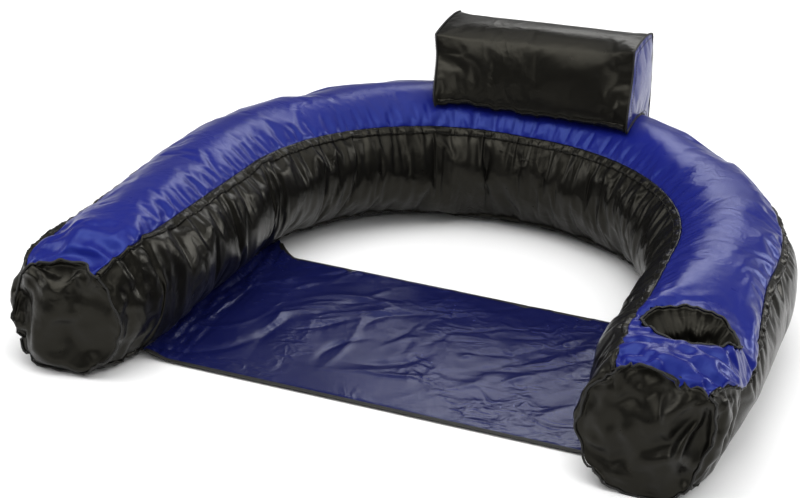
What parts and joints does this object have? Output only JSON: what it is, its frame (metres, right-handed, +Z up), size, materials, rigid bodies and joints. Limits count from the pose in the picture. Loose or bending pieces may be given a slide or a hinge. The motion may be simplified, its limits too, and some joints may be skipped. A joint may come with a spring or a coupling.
{
  "type": "inflatable pool float",
  "caption": "U-shaped inflatable pool float seat with a fabric cover, sling seat, pillow headrest and a cup pocket in one arm.",
  "frame": {"origin": "middle of the float's box, on the surface that it stands on", "axes": "+X towards the arm with the cup pocket, +Y towards the headrest, +Z up"},
  "size_m": [0.9076, 0.9347, 0.3023],
  "materials": {
    "blue_nylon": "coated glossy nylon",
    "black_nylon": "coated glossy nylon",
    "seat_nylon": "coated nylon",
    "black_binding": "woven tape",
    "bladder_vinyl": "gloss",
    "valve_vinyl": "semi-gloss",
    "flap_vinyl": "gloss",
    "zip_plastic": "moulded",
    "slider_metal": "black enamel"
  },
  "bodies": {
    "float": {"cover_top_panel": "blue_nylon", "cover_inner_panel": "black_nylon", "cover_outer_panel": "black_nylon", "cover_bottom_panel": "black_nylon", "end_cap_left": "black_nylon", "end_cap_right": "black_nylon", "end_cap_piping_left": "black_binding", "end_cap_piping_right": "black_binding", "seam_tape_inner_top": "black_binding", "seam_tape_inner_bottom": "black_binding", "seam_tape_outer_top": "black_binding", "seam_tape_outer_bottom": "black_binding", "seat_panel": "seat_nylon", "seat_binding_front": "black_binding", "seat_binding_rear": "black_binding", "cup_pocket": "black_nylon", "cup_pocket_binding": "black_binding", "main_bladder": "bladder_vinyl", "headrest_hinge_strip": "black_nylon", "main_valve_flange": "valve_vinyl", "zip_tape_upper": "black_binding", "zip_tape_lower": "black_binding", "zip_teeth_upper": "zip_plastic", "zip_teeth_lower": "zip_plastic", "zip_stop_front": "zip_plastic", "zip_stop_rear": "zip_plastic"},
    "headrest": {"headrest_wrap": "black_nylon", "headrest_end_left": "blue_nylon", "headrest_end_right": "blue_nylon", "headrest_piping_left": "black_binding", "headrest_piping_right": "black_binding", "headrest_bladder": "bladder_vinyl", "headrest_valve_flange": "valve_vinyl"},
    "main_valve_stem": {"main_valve_stem": "valve_vinyl"},
    "main_valve_plug": {"main_valve_plug": "valve_vinyl"},
    "main_valve_flap": {"main_valve_flap": "flap_vinyl"},
    "headrest_valve_stem": {"headrest_valve_stem": "valve_vinyl"},
    "headrest_valve_plug": {"headrest_valve_plug": "valve_vinyl"},
    "headrest_valve_flap": {"headrest_valve_flap": "flap_vinyl"},
    "zip_slider": {"zip_slider": "slider_metal"},
    "zip_pull": {"zip_pull": "slider_metal"}
  },
  "joints": [
    {"name": "headrest_fold", "type": "hinge", "parent": "float", "child": "headrest", "pos_m": [0, 0.3055, 0.19916], "axis": [1, 0, 0], "range_deg": [0, 90]},
    {"name": "main_valve_push", "type": "slide", "parent": "float", "child": "main_valve_stem", "axis": [0, 1, 0], "range_m": [0, 0.0105]},
    {"name": "main_plug_hinge", "type": "hinge", "parent": "main_valve_stem", "child": "main_valve_plug", "pos_m": [0, 0.4668, 0.08656], "axis": [-1, 0, 0], "range_deg": [0, 150]},
    {"name": "main_flap_hinge", "type": "hinge", "parent": "main_valve_stem", "child": "main_valve_flap", "pos_m": [0, 0.4515, 0.10376], "axis": [-1, 0, 0], "range_deg": [0, 40]},
    {"name": "headrest_valve_push", "type": "slide", "parent": "headrest", "child": "headrest_valve_stem", "axis": [0, 1, 0], "range_m": [0, 0.0105]},
    {"name": "headrest_plug_hinge", "type": "hinge", "parent": "headrest_valve_stem", "child": "headrest_valve_plug", "pos_m": [0, 0.4338, 0.23816], "axis": [-1, 0, 0], "range_deg": [0, 150]},
    {"name": "headrest_flap_hinge", "type": "hinge", "parent": "headrest_valve_stem", "child": "headrest_valve_flap", "pos_m": [0, 0.4185, 0.25536], "axis": [-1, 0, 0], "range_deg": [0, 40]},
    {"name": "zip_slide", "type": "slide", "parent": "float", "child": "zip_slider", "axis": [-0.0063, 1, 0.0016], "range_m": [-0.025, 0.213]},
    {"name": "zip_pull_hinge", "type": "hinge", "parent": "zip_slider", "child": "zip_pull", "pos_m": [-0.41517, -0.35651, 0.0091], "axis": [-0.8191, -0.0061, 0.5736], "range_deg": [0, 170]}
  ]
}
